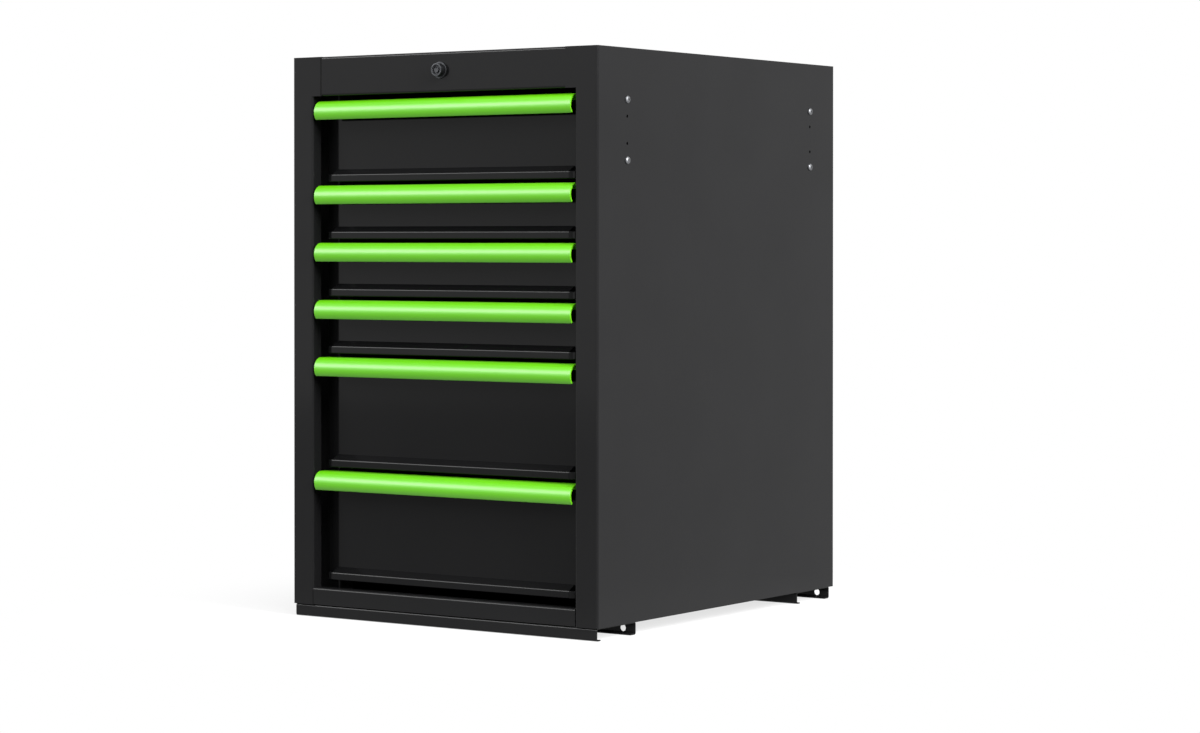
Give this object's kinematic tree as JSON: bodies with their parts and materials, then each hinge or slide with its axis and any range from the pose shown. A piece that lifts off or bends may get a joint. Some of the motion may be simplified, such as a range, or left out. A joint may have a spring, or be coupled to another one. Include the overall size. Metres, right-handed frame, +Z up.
{
  "type": "workshop drawer cabinet",
  "caption": "Black steel workshop cabinet with full-width green-handled drawers on telescopic slides, a central lock and lipped foot rails.",
  "frame": {"origin": "middle of the bounding box's underside: between the side walls, under the foot rails", "axes": "+X to the right as seen from the front, +Y from the front to the back, +Z up; the drawers open along -Y"},
  "size_m": [0.506, 0.609, 0.7576],
  "materials": {
    "casing_black": "semi-gloss black powder coat",
    "drawer_black": "semi-gloss black powder coat",
    "inner_black": "satin black powder coat",
    "handle_green": "satin lime green coating",
    "cap_black": "black, satin",
    "zinc_steel": "bright zinc plate",
    "lock_chrome": "dull nickel plate"
  },
  "bodies": {
    "cabinet": {"side_panel_left": "casing_black", "side_panel_right": "casing_black", "top_rail": "casing_black", "bottom_rail": "casing_black", "top_panel": "casing_black", "bottom_panel": "casing_black", "back_panel": "casing_black", "post_front_left": "inner_black", "post_front_right": "inner_black", "post_rear_left": "inner_black", "post_rear_right": "inner_black", "foot_rail_front": "casing_black", "foot_rail_rear": "casing_black", "foot_rail_rivets": "zinc_steel", "side_screws": "zinc_steel", "lock_housing": "lock_chrome", "lock_nut": "zinc_steel", "lock_rod_bracket": "zinc_steel", "lock_bar_guides": "zinc_steel", "outer_slides": "zinc_steel"},
    "lock_core": {"lock_plug": "lock_chrome", "lock_rod": "zinc_steel"},
    "lock_lift": {"lock_bar": "zinc_steel", "lock_hooks": "zinc_steel"},
    "slide_stage_1": {"middle_slides_1": "zinc_steel"},
    "drawer_1": {"drawer_1_box": "inner_black", "drawer_1_front": "drawer_black", "drawer_1_lip_caps": "cap_black", "drawer_1_handle": "handle_green", "drawer_1_inner_slides": "zinc_steel"},
    "slide_stage_2": {"middle_slides_2": "zinc_steel"},
    "drawer_2": {"drawer_2_box": "inner_black", "drawer_2_front": "drawer_black", "drawer_2_lip_caps": "cap_black", "drawer_2_handle": "handle_green", "drawer_2_inner_slides": "zinc_steel"},
    "slide_stage_3": {"middle_slides_3": "zinc_steel"},
    "drawer_3": {"drawer_3_box": "inner_black", "drawer_3_front": "drawer_black", "drawer_3_lip_caps": "cap_black", "drawer_3_handle": "handle_green", "drawer_3_inner_slides": "zinc_steel"},
    "slide_stage_4": {"middle_slides_4": "zinc_steel"},
    "drawer_4": {"drawer_4_box": "inner_black", "drawer_4_front": "drawer_black", "drawer_4_lip_caps": "cap_black", "drawer_4_handle": "handle_green", "drawer_4_inner_slides": "zinc_steel"},
    "slide_stage_5": {"middle_slides_5": "zinc_steel"},
    "drawer_5": {"drawer_5_box": "inner_black", "drawer_5_front": "drawer_black", "drawer_5_lip_caps": "cap_black", "drawer_5_handle": "handle_green", "drawer_5_inner_slides": "zinc_steel"},
    "slide_stage_6": {"middle_slides_6": "zinc_steel"},
    "drawer_6": {"drawer_6_box": "inner_black", "drawer_6_front": "drawer_black", "drawer_6_lip_caps": "cap_black", "drawer_6_handle": "handle_green", "drawer_6_inner_slides": "zinc_steel"}
  },
  "joints": [
    {"name": "lock_turn", "type": "hinge", "parent": "cabinet", "child": "lock_core", "pos_m": [0, -0.3045, 0.7335], "axis": [0, 1, 0], "range_deg": [0, 90]},
    {"name": "lock_lift_slide", "type": "slide", "parent": "cabinet", "child": "lock_lift", "axis": [0, 0, 1], "range_m": [0, 0.009]},
    {"name": "drawer_1_slide", "type": "slide", "parent": "cabinet", "child": "drawer_1", "axis": [0, -1, 0], "range_m": [0, 0.5]},
    {"name": "slide_stage_1_slide", "type": "slide", "parent": "cabinet", "child": "slide_stage_1", "axis": [0, -1, 0], "range_m": [0, 0.25]},
    {"name": "drawer_2_slide", "type": "slide", "parent": "cabinet", "child": "drawer_2", "axis": [0, -1, 0], "range_m": [0, 0.5]},
    {"name": "slide_stage_2_slide", "type": "slide", "parent": "cabinet", "child": "slide_stage_2", "axis": [0, -1, 0], "range_m": [0, 0.25]},
    {"name": "drawer_3_slide", "type": "slide", "parent": "cabinet", "child": "drawer_3", "axis": [0, -1, 0], "range_m": [0, 0.5]},
    {"name": "slide_stage_3_slide", "type": "slide", "parent": "cabinet", "child": "slide_stage_3", "axis": [0, -1, 0], "range_m": [0, 0.25]},
    {"name": "drawer_4_slide", "type": "slide", "parent": "cabinet", "child": "drawer_4", "axis": [0, -1, 0], "range_m": [0, 0.5]},
    {"name": "slide_stage_4_slide", "type": "slide", "parent": "cabinet", "child": "slide_stage_4", "axis": [0, -1, 0], "range_m": [0, 0.25]},
    {"name": "drawer_5_slide", "type": "slide", "parent": "cabinet", "child": "drawer_5", "axis": [0, -1, 0], "range_m": [0, 0.5]},
    {"name": "slide_stage_5_slide", "type": "slide", "parent": "cabinet", "child": "slide_stage_5", "axis": [0, -1, 0], "range_m": [0, 0.25]},
    {"name": "drawer_6_slide", "type": "slide", "parent": "cabinet", "child": "drawer_6", "axis": [0, -1, 0], "range_m": [0, 0.5]},
    {"name": "slide_stage_6_slide", "type": "slide", "parent": "cabinet", "child": "slide_stage_6", "axis": [0, -1, 0], "range_m": [0, 0.25]}
  ],
  "couplings": [
    {"joint": "lock_turn", "follows": "lock_lift_slide", "rad_per_m": 174.53},
    {"joint": "slide_stage_1_slide", "follows": "drawer_1_slide", "ratio": 0.5},
    {"joint": "slide_stage_2_slide", "follows": "drawer_2_slide", "ratio": 0.5},
    {"joint": "slide_stage_3_slide", "follows": "drawer_3_slide", "ratio": 0.5},
    {"joint": "slide_stage_4_slide", "follows": "drawer_4_slide", "ratio": 0.5},
    {"joint": "slide_stage_5_slide", "follows": "drawer_5_slide", "ratio": 0.5},
    {"joint": "slide_stage_6_slide", "follows": "drawer_6_slide", "ratio": 0.5}
  ]
}
